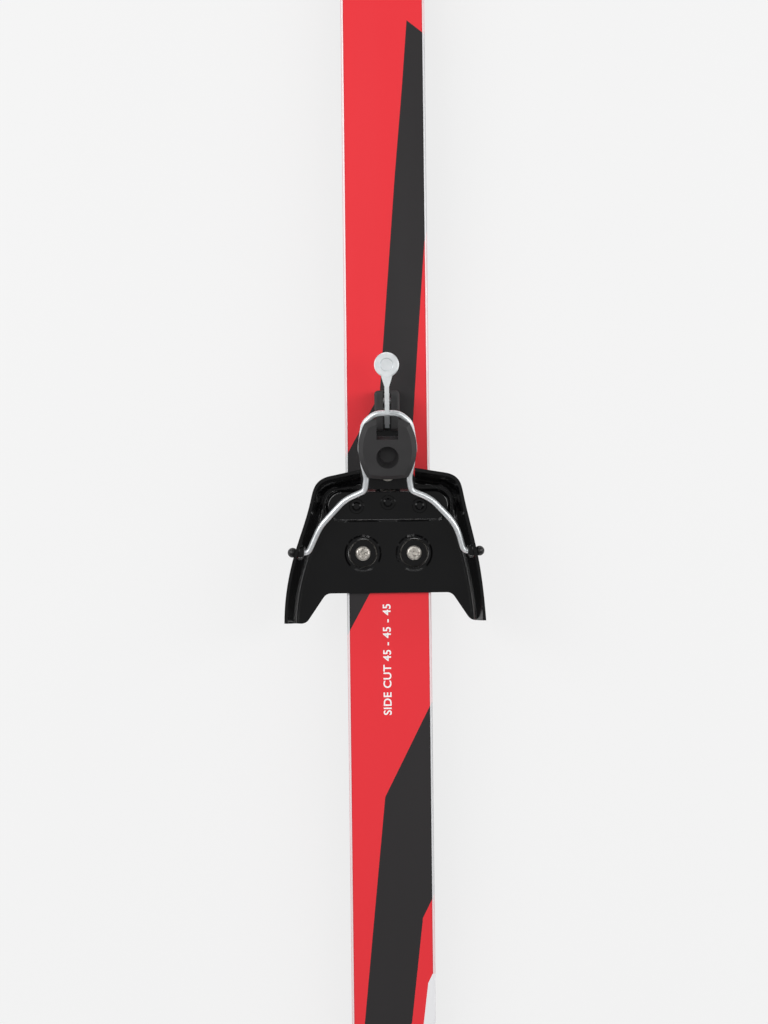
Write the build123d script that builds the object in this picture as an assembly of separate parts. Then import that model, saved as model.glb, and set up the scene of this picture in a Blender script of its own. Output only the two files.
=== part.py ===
"""A touring cross country ski with a three-pin, 75 mm toe binding, each piece in its own STEP file.

Millimetres. +X is right, +Y runs to the tip, +Z is up. The ski lies on its base, and the origin is
on the floor under the middle of its length. Binding shapes are drawn about the pin line.
"""

from build123d import *
from math import atan, cos, degrees, pi, sin, sqrt
import os

# Ski
SKI_LENGTH = 1900.0
SKI_WIDTH = 45.0
WAIST_THICKNESS = 22.0
TIP_THICKNESS = 6.0
TAIL_THICKNESS = 8.0
CAMBER = 18.0
TIP_RISE = 58.0
TAIL_RISE = 7.0
TIP_CURVE = 210.0
TAIL_CURVE = 70.0
NOSE_LENGTH = 62.0
NOSE_HALF_WIDTH = 7.0
TAIL_CORNER = 14.0
GUARD_LENGTH = 26.0
BASE_SHEET = 1.6
LAMINATE = 0.8
CAP = 1.1
SHOULDER = 1.3
GROOVE_WIDTH = 3.0
GROOVE_DEPTH = 1.0
SEAT_HALF = 95.0
STATIONS = 14

# Binding
PIN_LINE = -20.0
SHEET = 1.8
WALL_HEIGHT = 15.0
EMBOSS = 1.5
EMBOSS_LENGTH = 67.0
EMBOSS_WIDTH = 17.5
EMBOSS_SLOPE = 1.5
EMBOSS_ROUND = 0.9
BEND_ROUND = 2.6
PIN_SPACING = 16.8
PIN_LEAD = 1.6
PIN_RADIUS = 2.4
PIN_STRAIGHT = 3.4
PIN_POINT = 2.0
PIN_TIP_RADIUS = 1.6
PIN_COLLAR = 4.0
COLLAR_HEIGHT = 0.5
SCREW_HALF_SPACING = 13.65
REAR_SCREW = -25.7
FRONT_SCREW = 16.6
SCREW_HEAD = 4.0
SCREW_SHANK = 2.5
SCREW_DEPTH = 15.0
SCREW_HEAD_HEIGHT = 1.9
DIMPLE_RING = 9.9
DIMPLE_WELL = 6.8
DIMPLE_HEIGHT = 0.9
TONGUE_HALF = 6.4
TONGUE_END = 60.4
REAR_EDGE = -46.9
LEG_END = -61.5
LEG_CORNER = 5.0
WALL_GAP_HALF = 14.4

# Bail
WIRE = 1.55
PIVOT_BACK = 24.8
PIVOT_HEIGHT = 10.0
CHEEK_LEFT = 48.0
CHEEK_RIGHT = 45.3
CHEEK_BOSS = 2.4
CHEEK_BOSS_RADIUS = 4.2
BUSH_RADIUS = 2.4
BUSH_FLANGE = 3.2
BUSH_FLANGE_T = 0.7
SPOTFACE = 0.3
CAP_BALL = 2.65
CAP_GAP = 0.35
RUNNING = 0.05
BAIL_FRONT = 48.5
BAIL_KNEE = 8.0
BAIL_KNEE_HEIGHT = 15.0
BAIL_SLOPE = 0.26
PAD_BELOW = 4.0
PAD_ABOVE = 4.6
PAD_CHAMFER = 2.5
CUP_RADIUS = 5.95
CUP_FLOOR_RADIUS = 4.35
CUP_DEPTH = 7.0
CUP_AT = 26.1
NOTCH_HALF = 5.7
NOTCH_BACK = 35.5

# Latch
LATCH_PIN_AT = 55.6
LATCH_PIN_HEIGHT = 6.5
LATCH_PIN = 1.5
BLADE = 2.4
BRACKET_HALF = 6.7
BRACKET_BACK = 39.5
BRACKET_FRONT = 60.9
BRACKET_HEIGHT = 12.0
BRACKET_FLOOR = 1.2
SLOT_HALF = 2.0
TOOTH_CLEAR = 0.4
DISH_AT = 73.7
DISH_RADIUS = 6.55
DISH_HEIGHT = 34.0
DISH_T = 1.6
SPRING_T = 0.6
SPRING_HALF = 1.6

CONTACT_FRONT = SKI_LENGTH / 2 - TIP_CURVE
CONTACT_BACK = -SKI_LENGTH / 2 + TAIL_CURVE
SEAT_BACK = PIN_LINE - SEAT_HALF
SEAT_FRONT = PIN_LINE + SEAT_HALF


def base_height(y):
    """Height of the running surface: a camber between the contacts, rising past each of them."""
    if y > CONTACT_FRONT:
        return TIP_RISE * ((y - CONTACT_FRONT) / TIP_CURVE) ** 2.2
    if y < CONTACT_BACK:
        return TAIL_RISE * ((CONTACT_BACK - y) / TAIL_CURVE) ** 2
    middle = (CONTACT_FRONT + CONTACT_BACK) / 2
    share = (y - middle) / (CONTACT_FRONT - CONTACT_BACK)
    return CAMBER * cos(pi * share) ** 2


SEAT_HEIGHT = base_height(PIN_LINE) + WAIST_THICKNESS
FLOOR = SEAT_HEIGHT + SHEET


def top_height(y):
    """Height of the top face: level under the binding, thinning towards both ends."""
    if SEAT_BACK <= y <= SEAT_FRONT:
        return SEAT_HEIGHT
    edge = SEAT_FRONT if y > SEAT_FRONT else SEAT_BACK
    end = SKI_LENGTH / 2 if y > SEAT_FRONT else -SKI_LENGTH / 2
    thin = TIP_THICKNESS if y > SEAT_FRONT else TAIL_THICKNESS
    share = min(1, abs((y - edge) / (end - edge)) * 1.12)
    waist = SEAT_HEIGHT - base_height(edge)
    return base_height(y) + thin + (waist - thin) * cos(pi * share / 2) ** 2


def spread(start, end, count):
    return [start + (end - start) * i / count for i in range(count + 1)]


def base_line(lift):
    """The running surface's side line, raised by lift."""
    ends = spread(-SKI_LENGTH / 2, CONTACT_BACK, 3)
    ends += spread(CONTACT_BACK, CONTACT_FRONT, STATIONS)[1:]
    ends += spread(CONTACT_FRONT, SKI_LENGTH / 2, 6)[1:]
    return [Spline([(y, base_height(y) + lift) for y in ends])]


def top_line(drop):
    """The top face's side line, lowered by drop, with a level stretch under the binding."""
    back = [(y, top_height(y) - drop) for y in spread(-SKI_LENGTH / 2, SEAT_BACK, STATIONS)]
    front = [(y, top_height(y) - drop) for y in spread(SEAT_FRONT, SKI_LENGTH / 2, STATIONS)]
    return [Spline(back), Line(back[-1], front[0]), Spline(front)]


def slab(low, high, width):
    """A solid as wide as width between two side lines."""
    first = low[0] @ 0
    last = low[-1] @ 1
    rise = [Line(last, high[-1] @ 1), Line(first, high[0] @ 0)]
    face = make_face([*low, *high, *rise])
    return Pos(-width / 2, 0, 0) * extrude(Plane.YZ * face, amount=width)


def plan(inset):
    """The ski seen from above, standing tall, as a cutter: a pointed nose and a rounded tail."""
    half = SKI_WIDTH / 2 - inset
    end = SKI_LENGTH / 2 - inset
    shoulder = SKI_LENGTH / 2 - NOSE_LENGTH
    nose = NOSE_HALF_WIDTH
    curve = Spline(
        [(half, shoulder), (half * 0.72, shoulder + NOSE_LENGTH * 0.62), (nose, end - nose * 0.35)],
        tangents=[(0, 1), (-1, 0.45)],
    )
    tip = ThreePointArc(curve @ 1, (0, end), (-nose, end - nose * 0.35))
    corner = TAIL_CORNER - inset
    tail = [
        Line((half, shoulder), (half, -end + corner)),
        ThreePointArc((half, -end + corner), (half - corner * 0.29, -end + corner * 0.29), (half - corner, -end)),
        Line((half - corner, -end), (-half + corner, -end)),
        ThreePointArc((-half + corner, -end), (-half + corner * 0.29, -end + corner * 0.29), (-half, -end + corner)),
        Line((-half, -end + corner), (-half, shoulder)),
    ]
    face = make_face([curve, tip, mirror(curve, Plane.YZ), *tail])
    return extrude(face, amount=TIP_RISE * 2)


def between(back, front):
    """A tall block that keeps the stretch of ski from back to front."""
    size = front - back
    return Pos(0, back + size / 2, TIP_RISE) * Box(SKI_WIDTH * 2, size, TIP_RISE * 4)


def screw_spots():
    rear = PIN_LINE + REAR_SCREW
    front = PIN_LINE + FRONT_SCREW
    return [(-SCREW_HALF_SPACING, rear), (SCREW_HALF_SPACING, rear), (0, front)]


def screw_holes():
    """The three shank bores, from the binding down to the screws' ends."""
    depth = SCREW_DEPTH + SHEET + EMBOSS
    bore = Pos(0, 0, SEAT_HEIGHT - SCREW_DEPTH + depth / 2) * Cylinder(SCREW_SHANK, depth)
    return [Pos(x, y, 0) * bore for x, y in screw_spots()]


def ski_pieces():
    """The running base, the two laminates, the wood core, the cap and the two end guards."""
    back = -SKI_LENGTH / 2 + GUARD_LENGTH
    front = SKI_LENGTH / 2 - GUARD_LENGTH
    middle = between(back, front)
    core_low = BASE_SHEET + LAMINATE
    core_high = CAP + LAMINATE
    inside = SKI_WIDTH - 2 * CAP
    groove = slab(base_line(-GROOVE_DEPTH), base_line(GROOVE_DEPTH), GROOVE_WIDTH)
    base = slab(base_line(0), base_line(BASE_SHEET), SKI_WIDTH) & plan(0)
    lower = slab(base_line(BASE_SHEET), base_line(core_low), inside) & plan(CAP)
    core = slab(base_line(core_low), top_line(core_high), inside) & plan(CAP)
    upper = slab(top_line(core_high), top_line(CAP), inside) & plan(CAP)
    shell = slab(base_line(BASE_SHEET), top_line(0), SKI_WIDTH)
    shell = fillet(shell.edges().filter_by(on_top_rim), SHOULDER) & plan(0)
    hollow = slab(base_line(BASE_SHEET), top_line(CAP), inside) & plan(CAP)
    body = (base - groove) + shell
    holes = screw_holes()
    return {
        "running_base": (base - groove) & middle,
        "lower_laminate": lower & middle,
        "wood_core": (core & middle) - holes,
        "upper_laminate": (upper & middle) - holes,
        "cap_sheet": ((shell - hollow) & middle) - holes,
        "tip_guard": body & between(front, SKI_LENGTH),
        "tail_guard": body & between(-SKI_LENGTH, back),
    }


def on_top_rim(edge):
    """True for the long edges on both sides of the top face."""
    ends = [edge @ 0, edge @ 0.5, edge @ 1]
    return all(abs(p.Z - top_height(p.Y)) < 1 and abs(p.X) > SKI_WIDTH / 2 - 0.01 for p in ends)


def rim_points(inset):
    """Corners of the base plate's upper rim: side, corner and front points for left and right."""
    left = [(-55.7, -64), (-49.7, -PIVOT_BACK), (-41.1, 2.6), (-38.6, 10.5), (-31, 15.6)]
    right = [(51.5, -64), (46.9, -PIVOT_BACK), (40, 5.7), (38.2, 12), (31, 16.8)]
    return side_inset(left, inset), side_inset(right, -inset), (0, 22 - inset)


def bend_points(inset):
    """The same corners where the cheeks bend up from the floor of the plate."""
    left = [(-51.8, -64), (-43.9, -PIVOT_BACK), (-37.2, -2), (-35.2, 6.5), (-28.5, 11)]
    right = [(47.5, -64), (41.4, -PIVOT_BACK), (37.2, -4), (35.4, 6.5), (28.5, 12)]
    return side_inset(left, inset), side_inset(right, -inset), (0, 15 - inset)


def side_inset(points, shift):
    """Points moved inwards: the sides in X, the front in Y and the corner in both."""
    back, knee, start, bend, end = points
    step = abs(shift)
    side = [(x + shift, y) for x, y in (back, knee, start)]
    return [*side, (bend[0] + shift * 0.7, bend[1] - step * 0.7), (end[0], end[1] - step)]


def tub_face(points, height):
    left, right, apex = points
    edges = [
        Spline(left),
        Line(left[4], apex),
        Line(apex, right[4]),
        Spline(right),
        Line(left[0], right[0]),
    ]
    return Pos(0, PIN_LINE, height) * make_face(edges)


def plate_tub():
    """The floor and the outward-leaning walls, as one bent sheet open at the rear."""
    top = FLOOR + WALL_HEIGHT
    outer = loft([tub_face(bend_points(0), SEAT_HEIGHT), tub_face(rim_points(0), top)], ruled=True)
    inner = loft([tub_face(bend_points(SHEET), FLOOR), tub_face(rim_points(SHEET), top)], ruled=True)
    inner = fillet(inner.faces().sort_by(Axis.Z)[0].edges(), BEND_ROUND)
    outer = fillet(outer.faces().sort_by(Axis.Z)[0].edges(), BEND_ROUND + SHEET)
    tub = outer - inner
    tall = WALL_HEIGHT * 3
    tub -= Pos(0, PIN_LINE, SEAT_HEIGHT - 5) * extrude(rear_outline(), amount=tall)
    gap = Pos(0, PIN_LINE + 30, FLOOR + tall / 2) * Box(WALL_GAP_HALF * 2, 50, tall)
    tub -= gap
    return tub


def rear_outline():
    """What is cut away behind the plate: a straight rear edge and two legs with round ends."""
    back = LEG_END - 15
    face = make_face(
        Polyline((-75, back), (-75, LEG_END + 0.4), (-44.5, LEG_END - 1.5), (-33.5, REAR_EDGE),
                 (33.5, REAR_EDGE), (43.5, LEG_END - 0.5), (75, LEG_END + 0.4), (75, back), close=True)
    )
    return fillet(face.vertices().filter_by(lambda v: abs(v.X) < 50 and v.Y > back + 1), LEG_CORNER)


def plate_tongue():
    """The flat tongue that carries the latch bracket ahead of the toe."""
    half = TONGUE_HALF
    face = make_face(
        Polyline((-WALL_GAP_HALF, 6), (-WALL_GAP_HALF, 15), (-half, 30), (-half, TONGUE_END),
                 (half, TONGUE_END), (half, 30), (WALL_GAP_HALF, 15), (WALL_GAP_HALF, 6), close=True)
    )
    face = fillet(face.vertices().filter_by(lambda v: v.Y > 20), 2.5)
    return Pos(0, PIN_LINE, SEAT_HEIGHT) * extrude(face, amount=SHEET)


def pressed_slot(grow, height):
    """The stadium of the pin platform, with sloped sides, grown or shrunk by grow."""
    low = SlotOverall(EMBOSS_LENGTH + grow, EMBOSS_WIDTH + grow)
    high = SlotOverall(EMBOSS_LENGTH + grow - 2 * EMBOSS_SLOPE, EMBOSS_WIDTH + grow - 2 * EMBOSS_SLOPE)
    raised = loft([low, Pos(0, 0, EMBOSS) * high])
    raised = fillet(raised.faces().sort_by(Axis.Z)[-1].edges(), EMBOSS_ROUND)
    return Pos(0, PIN_LINE - 0.2, height) * raised


def screw_dimple():
    """The pressed ring around a mounting screw, with the screw's well in its middle."""
    profile = Polyline(
        (DIMPLE_WELL, -0.2), (DIMPLE_RING, -0.2), (DIMPLE_RING, 0.05),
        (DIMPLE_RING - 1, DIMPLE_HEIGHT), (DIMPLE_WELL + 1.1, DIMPLE_HEIGHT), (DIMPLE_WELL, 0.05), close=True
    )
    return revolve(Plane.XZ * make_face(profile), Axis.Z)


def cheek_boss(x_out, side):
    """A flat boss in the leaning cheek, square to the pivot."""
    middle = x_out - side * CHEEK_BOSS / 2
    return pivot_rod(middle, CHEEK_BOSS_RADIUS, CHEEK_BOSS)


def spotface(x_out, side):
    """The flat seat inside the cheek that the bush's flange lies on."""
    depth = 4 * SHEET
    middle = x_out - side * (CHEEK_BOSS + depth / 2)
    return pivot_rod(middle, BUSH_FLANGE + SPOTFACE, depth)


def pivot_rod(x, radius, length):
    place = Pos(x, PIN_LINE - PIVOT_BACK, FLOOR + PIVOT_HEIGHT)
    return place * Rot(0, 90, 0) * Cylinder(radius, length)


def base_plate():
    plate = plate_tub() + plate_tongue() + pressed_slot(0, FLOOR)
    plate -= pressed_slot(-2 * SHEET * 0.6, SEAT_HEIGHT)
    spots = screw_spots()
    plate += [Pos(x, y, FLOOR) * screw_dimple() for x, y in spots[:2]]
    plate += Pos(-33.2, PIN_LINE - 25.8, FLOOR) * Box(0.6, 7.2, 0.5)
    plate += cheek_boss(-CHEEK_LEFT, -1)
    plate += cheek_boss(CHEEK_RIGHT, 1)
    hole = Cylinder(SCREW_SHANK, 4 * SHEET)
    plate -= [Pos(x, y, FLOOR) * hole for x, y in spots]
    plate -= spotface(-CHEEK_LEFT, -1)
    plate -= spotface(CHEEK_RIGHT, 1)
    plate -= pivot_rod(0, BUSH_RADIUS, 140)
    pin_hole = Cylinder(PIN_TIP_RADIUS, 8 * SHEET)
    plate -= [Pos(x, y, FLOOR) * pin_hole for x, y in pin_spots()]
    return plate


def pin_spots():
    """The three boot pins: the middle one stands ahead of the two outer ones."""
    return [
        (-PIN_SPACING, PIN_LINE - 0.5),
        (0, PIN_LINE + PIN_LEAD - 0.3),
        (PIN_SPACING, PIN_LINE - 0.5),
    ]


def boot_pin():
    """A riveted pin: a shank in the plate, a collar on it, a straight stem and a cone."""
    top = EMBOSS + COLLAR_HEIGHT
    profile = Polyline(
        (0, EMBOSS - SHEET), (PIN_TIP_RADIUS, EMBOSS - SHEET), (PIN_TIP_RADIUS, EMBOSS), (PIN_COLLAR, EMBOSS),
        (PIN_COLLAR - 0.3, top), (PIN_RADIUS, top), (PIN_RADIUS, top + PIN_STRAIGHT),
        (PIN_TIP_RADIUS, top + PIN_STRAIGHT + PIN_POINT), (0, top + PIN_STRAIGHT + PIN_POINT), close=True
    )
    return revolve(Plane.XZ * make_face(profile), Axis.Z)


def mounting_screw():
    """A pan-head wood screw with a cross recess."""
    head = Pos(0, 0, SCREW_HEAD_HEIGHT / 2) * Cylinder(SCREW_HEAD, SCREW_HEAD_HEIGHT)
    head = fillet(head.edges().filter_by(GeomType.CIRCLE).sort_by(Axis.Z)[-1], 1.2)
    length = SCREW_DEPTH + SHEET
    shank = Pos(0, 0, -length / 2) * Cylinder(SCREW_SHANK, length)
    screw = head + shank
    for turn in (0, 90):
        screw -= Pos(0, 0, SCREW_HEAD_HEIGHT) * Rot(0, 0, turn) * Box(4.8, 1.1, 3.0)
    return screw


def bail_height(y):
    """Height of the bail's front loop above the plate, at y ahead of the pin line."""
    return BAIL_KNEE_HEIGHT + (y - BAIL_KNEE) * BAIL_SLOPE


def bail_side(side, cheek):
    """Corner points of one side of the bail, from its end to the front of the loop."""
    inner = cheek - CHEEK_BOSS - BUSH_FLANGE_T
    end = cheek + CAP_GAP + CAP_BALL * 1.6
    flat = [
        (end, -PIVOT_BACK, PIVOT_HEIGHT),
        (inner - 2.2, -PIVOT_BACK, PIVOT_HEIGHT),
        (36.2, -11.0, 12.0),
        (23.0, 3.0, 13.9),
        (12.4, 7.6, bail_height(7.6)),
        (11.4, 14.0, bail_height(14.0)),
        (14.3, 29.9, bail_height(29.9)),
        (12.4, 43.4, bail_height(43.4)),
        (6.2, BAIL_FRONT, bail_height(BAIL_FRONT)),
    ]
    return [(side * x, y + PIN_LINE, z + FLOOR) for x, y, z in flat]


def bail_path():
    left = bail_side(-1, CHEEK_LEFT)
    right = bail_side(1, CHEEK_RIGHT)
    radii = [3, 26, 22, 3.4, 9, 16, 8, 9]
    return FilletPolyline(left + right[::-1], radius=radii + radii[::-1])


def bail_wire():
    path = bail_path()
    start = Plane(origin=path @ 0, z_dir=path % 0)
    return sweep(start * Circle(WIRE), path=path)


def pad_plane():
    """The plane of the front loop, with its origin at the knee and +Y up the slope."""
    slope = atan(BAIL_SLOPE)
    origin = (0, PIN_LINE + BAIL_KNEE, FLOOR + BAIL_KNEE_HEIGHT)
    return Plane(origin=origin, x_dir=(1, 0, 0), z_dir=(0, -sin(slope), cos(slope)))


def up_slope(y):
    return (y - BAIL_KNEE) / cos(atan(BAIL_SLOPE))


def bail_pad(wire):
    """The moulded pad on the loop, with a pole-tip cup and a notch for the latch."""
    back, middle, front = up_slope(15.0), up_slope(29.9), up_slope(43.4)
    side = Spline([(10.6, back), (15.5, middle), (12.0, front)])
    edges = [
        side,
        mirror(side, Plane.YZ),
        ThreePointArc((-10.6, back), (0, back - 1.0), (10.6, back)),
        ThreePointArc((-12.0, front), (0, up_slope(46.6)), (12.0, front)),
    ]
    pad = extrude(make_face(edges), amount=PAD_ABOVE) + extrude(make_face(edges), amount=-PAD_BELOW)
    pad = chamfer(pad.faces().sort_by(Axis.Z)[-1].outer_wire().edges(), PAD_CHAMFER)
    deep = PAD_ABOVE + PAD_BELOW
    long = up_slope(60) - up_slope(NOTCH_BACK)
    pad -= Pos(0, up_slope(NOTCH_BACK) + long / 2, 0) * Box(NOTCH_HALF * 2, long, deep * 3)
    cup = Pos(0, up_slope(CUP_AT), PAD_ABOVE - CUP_DEPTH)
    pad -= cup * loft([Circle(CUP_FLOOR_RADIUS), Pos(0, 0, CUP_DEPTH) * Circle(CUP_RADIUS)])
    return pad_plane() * pad - wire


def end_cap(side, cheek):
    """The moulded ball pushed on the end of the wire."""
    ball = Pos(cheek + CAP_GAP + CAP_BALL, PIN_LINE - PIVOT_BACK, FLOOR + PIVOT_HEIGHT) * Sphere(CAP_BALL)
    mouth = cheek + CAP_GAP + CAP_BALL * 0.8
    cap = ball - pivot_rod(mouth, WIRE, CAP_BALL * 1.6)
    return cap if side > 0 else mirror(cap, Plane.YZ)


def cheek_bush(side, cheek):
    """The flanged bush that lines the pivot hole."""
    middle = side * (cheek - CHEEK_BOSS / 2)
    flange = side * (cheek - CHEEK_BOSS - BUSH_FLANGE_T / 2)
    bush = pivot_rod(middle, BUSH_RADIUS, CHEEK_BOSS) + pivot_rod(flange, BUSH_FLANGE, BUSH_FLANGE_T)
    return bush - pivot_rod(middle, WIRE + RUNNING, CHEEK_BOSS * 4)


def latch_rod(radius, length):
    return Pos(0, PIN_LINE + LATCH_PIN_AT, FLOOR + LATCH_PIN_HEIGHT) * Rot(0, 90, 0) * Cylinder(radius, length)


def latch_bracket():
    """The channel that holds the lever, open at its top and both ends."""
    long = BRACKET_FRONT - BRACKET_BACK
    middle = PIN_LINE + (BRACKET_FRONT + BRACKET_BACK) / 2
    block = Box(BRACKET_HALF * 2, long, BRACKET_HEIGHT)
    block = fillet(block.edges().filter_by(Axis.Z), 2.2)
    block = fillet(block.faces().sort_by(Axis.Z)[-1].edges(), 1.4)
    block = Pos(0, middle, FLOOR + BRACKET_HEIGHT / 2) * block
    slot = Box(SLOT_HALF * 2, long * 2, BRACKET_HEIGHT)
    block -= Pos(0, middle, FLOOR + BRACKET_FLOOR + BRACKET_HEIGHT / 2) * slot
    return block - latch_rod(LATCH_PIN, 40)


def tooth_tip(height):
    """A point just outside the arc that the front of the wire swings through."""
    reach = sqrt((BAIL_FRONT + PIVOT_BACK) ** 2 + (bail_height(BAIL_FRONT) - PIVOT_HEIGHT) ** 2)
    reach += WIRE + TOOTH_CLEAR
    return (sqrt(reach ** 2 - (height - PIVOT_HEIGHT) ** 2) - PIVOT_BACK, height)


def latch_lever():
    """The flat toothed blade on its pin, with the pressed dish at its front."""
    wire = bail_height(BAIL_FRONT)
    low, second, top = tooth_tip(wire + 2.4), tooth_tip(wire + 7.2), tooth_tip(wire + 12.0)
    root = BAIL_FRONT + WIRE + 2.0
    profile = Polyline(
        (41, 3.6), (41, 6.2), (49.5, 7.6), (root, 12), (root, low[1] - 0.6), low,
        (second[0] + 2.0, second[1] - 1.2), second, (top[0] + 2.0, top[1] - 1.2), top,
        (top[0] + 0.4, top[1] + 1.4), (62, DISH_HEIGHT + 1.6), (68, DISH_HEIGHT + DISH_T),
        (68, DISH_HEIGHT), (61.5, DISH_HEIGHT - 2.5), (59.4, 14), (59.4, 4.4), (57.5, 3.4), close=True
    )
    blade = extrude(Plane.YZ * make_face(profile), amount=BLADE / 2, both=True)
    half = BLADE / 2
    neck = make_face(Polyline((-3.1, 69), (3.1, 69), (2.6, 66.5), (half, 62), (-half, 62), (-2.6, 66.5), close=True))
    neck = Pos(0, 0, DISH_HEIGHT) * extrude(neck, amount=DISH_T)
    dish = revolve(Plane.XZ * make_face(Polyline(
        (0, 0), (DISH_RADIUS - 0.6, 0), (DISH_RADIUS, 0.5), (DISH_RADIUS, DISH_T), (DISH_RADIUS - 0.5, DISH_T + 0.4),
        (3.6, DISH_T + 0.4), (3.1, DISH_T - 0.4), (0, DISH_T - 0.4), close=True
    )), Axis.Z)
    lever = Pos(0, PIN_LINE, FLOOR) * (blade + neck + Pos(0, DISH_AT, DISH_HEIGHT) * dish)
    return lever - latch_rod(LATCH_PIN + RUNNING, 40)


def latch_spring():
    """A leaf spring on the channel's floor, kicked up under the lever's toe."""
    low = BRACKET_FLOOR
    face = make_face(Polyline(
        (43, low), (53, low), (59.5, low + 0.9), (59.5, low + 0.9 + SPRING_T),
        (53, low + SPRING_T), (43, low + SPRING_T), close=True
    ))
    leaf = extrude(Plane.YZ * face, amount=SPRING_HALF, both=True)
    return Pos(0, PIN_LINE, FLOOR) * leaf


def binding_pieces():
    """The base plate, what is fixed to it, the bail and the latch."""
    wire = bail_wire()
    pins = Compound([Pos(x, y, FLOOR) * boot_pin() for x, y in pin_spots()])
    screws = Compound([Pos(x, y, FLOOR) * mounting_screw() for x, y in screw_spots()])
    return {
        "binding_base_plate": base_plate(),
        "boot_pins": pins,
        "mounting_screws": screws,
        "cheek_bush_left": cheek_bush(-1, CHEEK_LEFT),
        "cheek_bush_right": cheek_bush(1, CHEEK_RIGHT),
        "bail_wire": wire,
        "bail_pad": bail_pad(wire),
        "bail_end_cap_left": end_cap(-1, CHEEK_LEFT),
        "bail_end_cap_right": end_cap(1, CHEEK_RIGHT),
        "latch_bracket": latch_bracket(),
        "latch_pin": latch_rod(LATCH_PIN, BRACKET_HALF * 2),
        "latch_lever": latch_lever(),
        "latch_spring": latch_spring(),
    }


os.makedirs("parts", exist_ok=True)
for name, shape in {**ski_pieces(), **binding_pieces()}.items():
    export_step(shape, f"parts/{name}.step")
print("pad slope", round(degrees(atan(BAIL_SLOPE)), 2), "seat", SEAT_HEIGHT, "floor", FLOOR)
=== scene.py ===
# %% [markdown]
# A touring cross country ski with a three-pin toe binding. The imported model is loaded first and
# keeps its shapes: every finish below is laid on its pieces, and the one new piece, the printed
# size, rides on the ski.

# %% Load the frame
import math

import bpy
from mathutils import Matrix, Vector
from mathutils.bvhtree import BVHTree


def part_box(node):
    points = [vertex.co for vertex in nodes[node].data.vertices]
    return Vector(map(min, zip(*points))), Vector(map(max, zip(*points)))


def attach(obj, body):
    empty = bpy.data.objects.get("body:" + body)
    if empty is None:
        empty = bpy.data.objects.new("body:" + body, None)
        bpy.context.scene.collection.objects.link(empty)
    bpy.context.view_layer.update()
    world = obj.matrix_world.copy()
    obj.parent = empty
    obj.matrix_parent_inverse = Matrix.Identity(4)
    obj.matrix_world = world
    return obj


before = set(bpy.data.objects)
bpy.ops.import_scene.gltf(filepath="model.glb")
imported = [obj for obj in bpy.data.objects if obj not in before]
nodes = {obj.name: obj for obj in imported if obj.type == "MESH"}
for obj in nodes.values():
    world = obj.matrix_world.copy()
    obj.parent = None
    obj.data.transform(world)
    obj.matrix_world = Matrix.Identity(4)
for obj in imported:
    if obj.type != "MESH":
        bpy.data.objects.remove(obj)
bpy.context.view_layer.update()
print("nodes", len(nodes))

# %% [markdown]
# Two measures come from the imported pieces: the underside of the binding's plate is the seat on the
# ski, and the cap's edge is half of the ski's width. The pin line, from which a binding is laid
# out, is typed, because the three pins do not stand in one straight line.

# %% Places on the ski
PIN_LINE = -0.020
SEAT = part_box("binding_base_plate")[0].z
HALF_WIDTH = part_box("cap_sheet")[1].x
MILLIMETRES = 1000
print("seat height", round(SEAT, 5), "half width", round(HALF_WIDTH, 5))


# %% [markdown]
# Shader sums are long to write node by node. This small class wraps a socket, so that a mask or a
# stripe can be written as ordinary arithmetic, and each operator adds one Math node.

# %% A socket that does arithmetic
class Value:
    """A shader socket that adds Math nodes when it is used in an expression."""

    def __init__(self, tree, socket):
        self.tree = tree
        self.socket = socket

    def math(self, operation, *others):
        node = self.tree.nodes.new("ShaderNodeMath")
        node.operation = operation
        for slot, item in zip(node.inputs, (self, *others)):
            plug(self.tree, slot, item)
        return Value(self.tree, node.outputs[0])

    def __add__(self, other):
        return self.math("ADD", other)

    def __sub__(self, other):
        return self.math("SUBTRACT", other)

    def __mul__(self, other):
        return self.math("MULTIPLY", other)

    def __gt__(self, other):
        return self.math("GREATER_THAN", other)

    def __lt__(self, other):
        return self.math("LESS_THAN", other)

    def __rsub__(self, other):
        return (self * -1) + other

    __radd__ = __add__
    __rmul__ = __mul__


def plug(tree, socket, item):
    """Links a wrapped socket to an input, or sets a plain value on it."""
    if isinstance(item, Value):
        tree.links.new(item.socket, socket)
    else:
        socket.default_value = item


# %% [markdown]
# A finish is one material: its node tree, its surface node, and short calls for what most finishes
# need. Patterns read the piece's own metres, so a grain keeps its size on every piece. The colour
# sockets of a Mix node share their names with its other sockets, so they are taken by number.

# %% One material and its nodes
MIX_LOW, MIX_HIGH, MIX_COLOUR = 6, 7, 2


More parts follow.
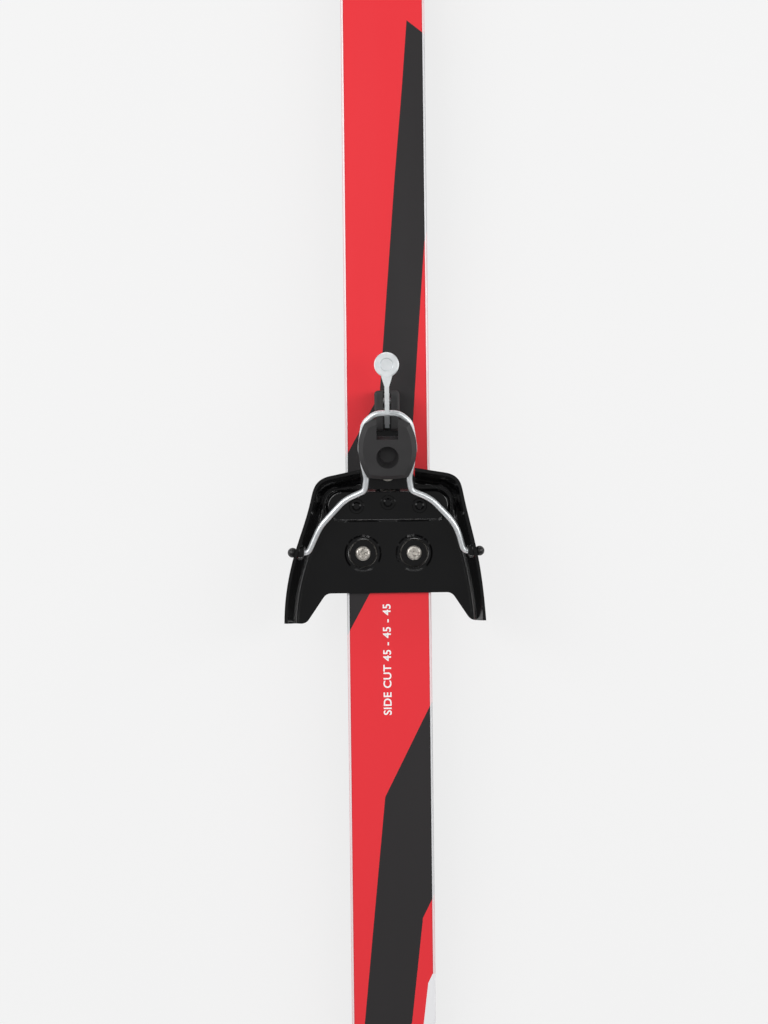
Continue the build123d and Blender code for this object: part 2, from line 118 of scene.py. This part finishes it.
class Finish:
    """One material: its tree, its surface node and a way to add nodes."""

    def __init__(self, name, **surface):
        self.material = bpy.data.materials.new(name)
        self.material.use_nodes = True
        self.tree = self.material.node_tree
        self.surface = self.tree.nodes["Principled BSDF"]
        for key, value in surface.items():
            self.set(key.replace("_", " ").title().replace("Ior", "IOR"), value)

    def set(self, name, item):
        plug(self.tree, self.surface.inputs[name], item)

    def node(self, kind, out=0, settings=None, sockets=None):
        """Adds a node: its settings first, then the values or links of its sockets."""
        made = self.tree.nodes.new(kind)
        for key, value in (settings or {}).items():
            setattr(made, key, value)
        for key, item in (sockets or {}).items():
            plug(self.tree, made.inputs[key], item)
        return Value(self.tree, made.outputs[out])

    def place(self):
        return self.node("ShaderNodeTexCoord", "Object")

    def axis(self, letter):
        return self.node("ShaderNodeSeparateXYZ", letter, sockets={0: self.place()})

    def noise(self, scale, detail=3.0, stretch=(1, 1, 1)):
        spot = self.node(
            "ShaderNodeMapping", sockets={"Vector": self.place(), "Scale": stretch}
        )
        return self.node(
            "ShaderNodeTexNoise",
            "Fac",
            sockets={"Vector": spot, "Scale": scale, "Detail": detail},
        )

    def blend(self, factor, low, high):
        return self.node(
            "ShaderNodeMix",
            MIX_COLOUR,
            {"data_type": "RGBA"},
            {"Factor": factor, MIX_LOW: low, MIX_HIGH: high},
        )

    def mottle(self, pattern, low, high, smoothest, spread):
        """One pattern moves the colour between two, and the roughness up by the spread."""
        self.set("Base Color", self.blend(pattern, low, high))
        self.set("Roughness", pattern * spread + smoothest)

    def bump(self, height, strength, distance):
        made = self.node(
            "ShaderNodeBump",
            sockets={"Height": height, "Strength": strength, "Distance": distance},
        )
        self.set("Normal", made)


def linear(r, g, b):
    """A colour written as it looks on a screen, from 0 to 255, turned into light."""
    parts = [c / 255 for c in (r, g, b)]
    return (
        *[c / 12.92 if c <= 0.04045 else ((c + 0.055) / 1.055) ** 2.4 for c in parts],
        1.0,
    )


# %% [markdown]
# The cap carries the ski's colour: a red top with diagonal black panels, printed under a clear
# gloss. The panels have straight edges, so each lies between two bent lines, and no picture is
# needed. A line is a few corners, (along, across) in millimetres from the pin line, and a Map
# Range node is one straight stretch of it.

# %% Lines on the cap
PANELS = [
    {
        "right": [
            (-69.6, -22.6), (-47, -10.2), (-4.3, 10.3), (44.9, 13.9), (88.2, 17), (140.5, 21),
            (160, 26), (249, 26), (253.6, 20.5), (259.7, 12.9), (262, 9),
        ],
        "left": [
            (25.5, -22.6), (59.4, -3.8), (88.2, -1.5), (175.3, 5.5), (223.9, 10), (259.7, 12.9),
            (262, 24),
        ],
        "ends": (-69.6, 262),
    },
    {
        "right": [(-336, -22.6), (-277.4, 9.7), (-221, 16.2), (-211.5, 21), (-205, 24)],
        "left": [
            (-331, -22.6), (-277.4, -15.6), (-211.1, -8.9), (-156.1, -3.3), (-107.9, 21),
            (-103, 24),
        ],
        "ends": (-336, -103),
    },
]
WHITE_EDGE = [(-440, 24), (-330, 9), (-277.4, 16), (-256.2, 18.6), (-251.2, 21)]
WHITE_FRONT = -251.2


def bent_line(finish, along, corners):
    """The X, in millimetres, of a bent line at each place along the ski."""
    total = None
    for (y0, x0), (y1, x1) in zip(corners, corners[1:]):
        step = finish.node(
            "ShaderNodeMapRange",
            sockets={
                "Value": along,
                "From Min": y0,
                "From Max": y1,
                "To Min": 0.0,
                "To Max": x1 - x0,
            },
        )
        total = step if total is None else total + step
    return total + corners[0][1]


def panel_mask(finish, across, along):
    """1 inside either black panel and 0 outside."""
    dark = None
    for panel in PANELS:
        near = bent_line(finish, along, panel["right"])
        far = bent_line(finish, along, panel["left"])
        start, end = panel["ends"]
        inside = (across < near) * (across > far) * (along > start) * (along < end)
        dark = inside if dark is None else dark.math("MAXIMUM", inside)
    return dark


print("panels", len(PANELS))

# %% [markdown]
# The cap bends down over the ski's sides, and the colour changes at that shoulder: a deeper line
# just inside it, a pale band over the shoulder and side, which is a painted highlight standing in
# for the lamps' gloss on the rounded cap, and a little of the print's colour at the very edge.
# Each band is a distance in from the ski's full width, so it runs straight, and the tip and tail
# narrow out of it.

# %% Bands along the cap's edge
# A pale grey that serves both the white print and the painted highlight on the cap's shoulder.
PALE_PRINT_AND_HIGHLIGHT = linear(234, 234, 236)
RIM_RED = linear(203, 40, 52)
EDGE_BLACK = linear(36, 35, 36)
RIM_LINE, RIM_STRENGTH = 1.75, 0.7
# Inside the shoulder line the colour is paled towards white: a painted highlight, not print.
SHOULDER_LINE, SHOULDER_HIGHLIGHT_STRENGTH = 1.25, 0.82
SIDE_LINE, SIDE_STRENGTH = 0.3, 0.35


def edge_bands(finish, colour, inset, dark, white):
    """Lays the three bands on a colour. The dark and white masks say what print they cross."""
    rim = (inset < RIM_LINE) * (inset > SHOULDER_LINE) * (1 - white)
    side = (inset < SIDE_LINE) * (1 - white)
    edge = finish.blend(dark, RIM_RED, EDGE_BLACK)
    colour = finish.blend(rim * RIM_STRENGTH, colour, edge)
    # Painted highlight: the pale band over the shoulder and side.
    colour = finish.blend((inset < SHOULDER_LINE) * SHOULDER_HIGHLIGHT_STRENGTH, colour, PALE_PRINT_AND_HIGHLIGHT)
    return finish.blend(side * SIDE_STRENGTH, colour, edge)


print("bands end", RIM_LINE, "mm in from the edge")

# %% [markdown]
# Now the cap itself. The red clouds slightly, a panel has a hard edge as a screen print has, and
# long fine scuffs run with the ski and change only the gloss.

# %% The cap's finish
RED = linear(234, 54, 62)
RED_DEEP = linear(226, 48, 56)
PRINT_BLACK = linear(46, 44, 45)


def cap_finish():
    finish = Finish("red_cap", coat_weight=0.12, coat_roughness=0.12)
    across = finish.axis("X") * MILLIMETRES
    along = (finish.axis("Y") - PIN_LINE) * MILLIMETRES
    inset = HALF_WIDTH * MILLIMETRES - across.math("ABSOLUTE")
    dark = panel_mask(finish, across, along)
    white = (across > bent_line(finish, along, WHITE_EDGE)) * (along < WHITE_FRONT)
    red = finish.blend(finish.noise(7.0, 2.0), RED, RED_DEEP)
    colour = finish.blend(dark, red, PRINT_BLACK)
    colour = finish.blend(white, colour, PALE_PRINT_AND_HIGHLIGHT)
    finish.set("Base Color", edge_bands(finish, colour, inset, dark, white))
    scuff = finish.noise(60.0, 6.0, (1, 0.06, 1))
    finish.set("Roughness", scuff * 0.12 + 0.14)
    finish.bump(finish.noise(35.0, 2.0), 0.05, 0.0006)
    return finish


cap = cap_finish()
print("cap shader nodes", len(cap.tree.nodes))

# %% [markdown]
# The base plate is pressed steel under thick glossy enamel, and the boot pins are finished alike.
# Enamel mirrors the room, so it is a near black with low roughness under a clear coat. A faint
# waviness bends the reflections, and patches of slightly higher roughness keep it from looking
# like glass.

# %% Black enamel
enamel = Finish("black_enamel", specular_ior_level=0.5, coat_weight=0.5, coat_roughness=0.04)
enamel.mottle(enamel.noise(40.0, 4.0), linear(4, 4, 5), linear(9, 9, 10), 0.1, 0.08)
enamel.bump(enamel.noise(110.0, 2.0), 0.1, 0.0002)
print("finish", enamel.material.name)

# %% [markdown]
# The bail, the lever, its pin and its spring are bright zinc plate, which is greyer and softer
# than chrome. It is made partly metallic, so that it stays pale where there is little to reflect.
# On the wire the grain is drawn out along the ski.

# %% Bright zinc
def zinc_finish(name, stretch):
    finish = Finish(name, metallic=0.65)
    patch = finish.noise(160.0, 5.0, stretch)
    finish.mottle(patch, linear(214, 219, 221), linear(242, 244, 246), 0.26, 0.2)
    finish.bump(finish.noise(900.0, 3.0, stretch), 0.15, 0.0001)
    return finish


zinc_wire = zinc_finish("zinc_wire", (1, 0.3, 1))
zinc_sheet = zinc_finish("zinc_sheet", (1, 1, 1))
print("finishes", zinc_wire.material.name, zinc_sheet.material.name)

# %% [markdown]
# The screws are zinc plate that a driver has marked. A fine pattern with a wide range of colour
# and roughness gives that mottled, duller look without any extra shape.

# %% Marked zinc on the screws
zinc_screw = Finish("zinc_screw", metallic=0.8)
marks = zinc_screw.noise(900.0, 4.0)
zinc_screw.mottle(marks, linear(96, 92, 88), linear(250, 244, 234), 0.16, 0.3)
zinc_screw.bump(zinc_screw.noise(1100.0, 3.0), 0.9, 0.0002)
print("finish", zinc_screw.material.name)

# %% [markdown]
# The pad and the latch's bracket are matt black mouldings. The end caps, bushes and guards are a
# darker black with more sheen. Both have the same fine grain and differ in colour and roughness.

# %% Black mouldings
def moulded_finish(name, low, high, smoothest):
    finish = Finish(name)
    finish.mottle(finish.noise(120.0, 4.0), low, high, smoothest, 0.12)
    finish.bump(finish.noise(2200.0, 2.0), 0.25, 0.00012)
    return finish


matt_black = moulded_finish("matt_black", linear(36, 35, 36), linear(46, 45, 46), 0.5)
satin_black = moulded_finish("satin_black", linear(20, 20, 21), linear(32, 32, 33), 0.28)
print("finishes", matt_black.material.name, satin_black.material.name)

# %% [markdown]
# Under the cap a ski is a sandwich: a black running base, glass fibre layers and a wood core. Each
# has one noise stretched along the ski, which is the ground texture of the base, the weave of the
# fibre and the grain of the wood.

# %% The ski's layers
running = Finish("running_black")
grind = running.noise(900.0, 2.0, (1, 0.02, 1))
running.mottle(grind, linear(34, 34, 36), linear(52, 52, 54), 0.36, 0.15)
running.bump(grind, 0.2, 0.0001)

fibre = Finish("glass_fibre")
weave = fibre.noise(500.0, 2.0, (1, 0.1, 1))
fibre.mottle(weave, linear(190, 194, 160), linear(214, 216, 186), 0.4, 0.2)

wood = Finish("wood_core")
grain = wood.noise(260.0, 5.0, (1, 0.03, 1))
wood.mottle(grain, linear(188, 150, 102), linear(222, 190, 142), 0.5, 0.2)
print("layers", running.material.name, fibre.material.name, wood.material.name)

# %% [markdown]
# Each node keeps its mesh and gets one finish. Pieces of one stuff share one material, so a change
# to it reaches all of them.

# %% Give every node its finish
finishes = {
    "running_base": running,
    "lower_laminate": fibre,
    "upper_laminate": fibre,
    "wood_core": wood,
    "cap_sheet": cap,
    "tip_guard": satin_black,
    "tail_guard": satin_black,
    "binding_base_plate": enamel,
    "boot_pins": enamel,
    "mounting_screws": zinc_screw,
    "cheek_bush_left": satin_black,
    "cheek_bush_right": satin_black,
    "bail_wire": zinc_wire,
    "bail_pad": matt_black,
    "bail_end_cap_left": satin_black,
    "bail_end_cap_right": satin_black,
    "latch_bracket": matt_black,
    "latch_pin": zinc_sheet,
    "latch_lever": zinc_sheet,
    "latch_spring": zinc_sheet,
}
for name, finish in finishes.items():
    if not nodes[name].material_slots:
        nodes[name].data.materials.append(finish.material)
    for place in nodes[name].material_slots:
        place.material = finish.material
print("nodes with a finish", len(finishes))


# %% [markdown]
# The sidecut is printed in white behind the binding, as words and three numbers. Print could be a
# picture on the cap, but letters of real shape stay sharp in any view. Text starts as a curve, is
# made a mesh, and each point is laid a hair above the cap, so that the two never fight.

# %% The cap's height under a point
PRINT_LIFT = 0.00004
ABOVE_ALL = 1.0
cap_mesh = nodes["cap_sheet"].data
cap_tree = BVHTree.FromPolygons(
    [v.co for v in cap_mesh.vertices], [p.vertices for p in cap_mesh.polygons]
)


def cap_height(x, y):
    """Height of the cap's top face under a point, found by dropping a ray on it."""
    return cap_tree.ray_cast(Vector((x, y, ABOVE_ALL)), Vector((0, 0, -1)))[0].z


print("cap height at the pin line", round(cap_height(0, PIN_LINE), 5))

# %% Printed sidecut size
SIZE_WORDS = "SIDE CUT 45 - 45 - 45"
LETTER_HEIGHT = 0.0043
WORDS_MIDDLE = -0.0014
WORDS_START = PIN_LINE - 0.1122
WORDS_END = PIN_LINE - 0.0529


def word_mesh(words):
    """A thin mesh of the words, read along X, with slightly bold and open letters."""
    curve = bpy.data.curves.new("sidecut_size", "FONT")
    curve.body = words
    curve.size = 1.0
    curve.offset = 0.018
    curve.space_character = 1.06
    curve.extrude = 0.00001
    holder = bpy.data.objects.new("sidecut_curve", curve)
    bpy.context.collection.objects.link(holder)
    bpy.context.view_layer.update()
    mesh = bpy.data.meshes.new_from_object(holder)
    bpy.data.objects.remove(holder)
    return mesh


def print_words(words, height, middle_x, start_y, end_y):
    """Lays the words along the ski, with the letters' tops to the left, and returns the piece."""
    mesh = word_mesh(words)
    low = [min(v.co[i] for v in mesh.vertices) for i in range(3)]
    high = [max(v.co[i] for v in mesh.vertices) for i in range(3)]
    stretch = (end_y - start_y) / (high[0] - low[0])
    tall = height / (high[1] - low[1])
    for v in mesh.vertices:
        run = (v.co.x - low[0]) * stretch
        rise = (v.co.y - low[1]) * tall
        x, y = middle_x + height / 2 - rise, start_y + run
        v.co = (x, y, cap_height(x, y) + PRINT_LIFT + (v.co.z - low[2]) * 0.5)
    piece = bpy.data.objects.new("sidecut_size", mesh)
    bpy.context.collection.objects.link(piece)
    return piece


ink = Finish("white_ink", roughness=0.35)
fade = ink.noise(400.0, 3.0)
ink.set("Base Color", ink.blend(fade, linear(238, 236, 236), linear(250, 249, 249)))
size_words = print_words(SIZE_WORDS, LETTER_HEIGHT, WORDS_MIDDLE, WORDS_START, WORDS_END)
size_words.data.materials.append(ink.material)
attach(size_words, "ski")
print("size words", [round(v, 4) for v in size_words.dimensions])


# %% [markdown]
# The ski lies on a pale floor. What the camera sees of the floor is mostly its own glow, so that it
# comes out nearly white, and the small rest is ordinary paper, which takes a faint shadow.

# %% Floor
FLOOR_GREY = linear(243, 243, 243)
FLOOR_GLOW = 0.85
FLOOR_SIZE = 12
FLOOR_DROP = 0.0002


def stage_floor():
    bpy.ops.mesh.primitive_plane_add(size=FLOOR_SIZE, location=(0, 0, -FLOOR_DROP))
    floor = bpy.context.object
    floor.name = "floor"
    paper = Finish("floor_paper", roughness=0.9)
    paper.set("Base Color", FLOOR_GREY)
    seen = paper.node("ShaderNodeLightPath", "Is Camera Ray")
    glow = paper.node("ShaderNodeEmission", sockets={"Color": FLOOR_GREY})
    sheet = Value(paper.tree, paper.surface.outputs[0])
    mixed = paper.node("ShaderNodeMixShader", sockets={0: seen * FLOOR_GLOW, 1: sheet, 2: glow})
    plug(paper.tree, paper.tree.nodes["Material Output"].inputs[0], mixed)
    floor.data.materials.append(paper.material)


stage_floor()
print("floor", FLOOR_SIZE, "m across")

# %% [markdown]
# The room gives every surface a plain level of light. The camera sees it nearly white. Glossy
# surfaces see it darker than the plain level, which keeps the black enamel black, and it means
# that the zinc does not mirror the pale room that is seen.

# %% Room
ROOM_LIGHT = 0.38
SEEN_MORE = 0.59
MIRRORED_LESS = 0.2


def light_room():
    world = bpy.data.worlds.new("room")
    bpy.context.scene.world = world
    world.use_nodes = True
    tree = world.node_tree
    sky = tree.nodes["Background"]
    sky.inputs[0].default_value = (1, 1, 1, 1)
    path = tree.nodes.new("ShaderNodeLightPath")
    seen = Value(tree, path.outputs["Is Camera Ray"])
    mirrored = Value(tree, path.outputs["Is Glossy Ray"])
    plug(tree, sky.inputs[1], seen * SEEN_MORE - mirrored * MIRRORED_LESS + ROOM_LIGHT)


light_room()
print("room light", ROOM_LIGHT)

# %% [markdown]
# Two large soft lamps stand high on either side, the key stronger than the fill. Four long low
# strips round the ski are there for the upright walls of the binding, which the high lamps hardly
# reach.

# %% Lamps
STRIP_HEIGHT = 0.36
STRIP_REACH = 1.3
STRIP_BACK = 1.4
STRIP_SIZE = (1.4, 0.07)
STRIP_WATTS = 2.2


def soft_lamp(name, place, size, watts, aim):
    lamp = bpy.data.lights.new(name, "AREA")
    lamp.shape = "RECTANGLE"
    lamp.size, lamp.size_y = size
    lamp.energy = watts
    holder = bpy.data.objects.new(name, lamp)
    bpy.context.collection.objects.link(holder)
    holder.location = place
    run = [a - p for a, p in zip(aim, place)]
    holder.rotation_euler = Vector(run).to_track_quat("-Z", "Y").to_euler()


soft_lamp("key", (-0.75, 0.35, 1.1), (0.5, 1.2), 9, (0, 0, 0))
soft_lamp("fill", (0.8, 0.2, 1.0), (0.4, 1.2), 6, (0, 0, 0))
strips = {
    "front_strip": (0, STRIP_REACH, STRIP_HEIGHT),
    "back_strip": (0, -STRIP_BACK, STRIP_HEIGHT),
    "left_strip": (-STRIP_REACH, 0, STRIP_HEIGHT),
    "right_strip": (STRIP_REACH, 0, STRIP_HEIGHT),
}
for name, place in strips.items():
    soft_lamp(name, place, STRIP_SIZE, STRIP_WATTS, (0, PIN_LINE, SEAT))
print("lamps", len(bpy.data.lights))


# %% [markdown]
# The view is from straight above the binding, rolled by a fraction of a degree. The camera stands
# well back, so the ski shows little perspective, and its angle is worked out from the length of
# ski that should fill the picture.

# %% Camera
CAMERA_HEIGHT = 2.2
VISIBLE_LENGTH = 0.5472
VIEW_LEFT = 0.0022
VIEW_BACK = 0.0037
ROLL = math.radians(0.66)


def look_down():
    eye = bpy.data.cameras.new("camera")
    holder = bpy.data.objects.new("camera", eye)
    bpy.context.collection.objects.link(holder)
    eye.sensor_fit = "VERTICAL"
    eye.angle = 2 * math.atan(VISIBLE_LENGTH / 2 / CAMERA_HEIGHT)
    holder.location = (-VIEW_LEFT, PIN_LINE - VIEW_BACK, SEAT + CAMERA_HEIGHT)
    holder.rotation_euler = (0, 0, -ROLL)
    bpy.context.scene.camera = holder


look_down()
bpy.context.scene.view_settings.view_transform = "Standard"
print("length in view", VISIBLE_LENGTH)
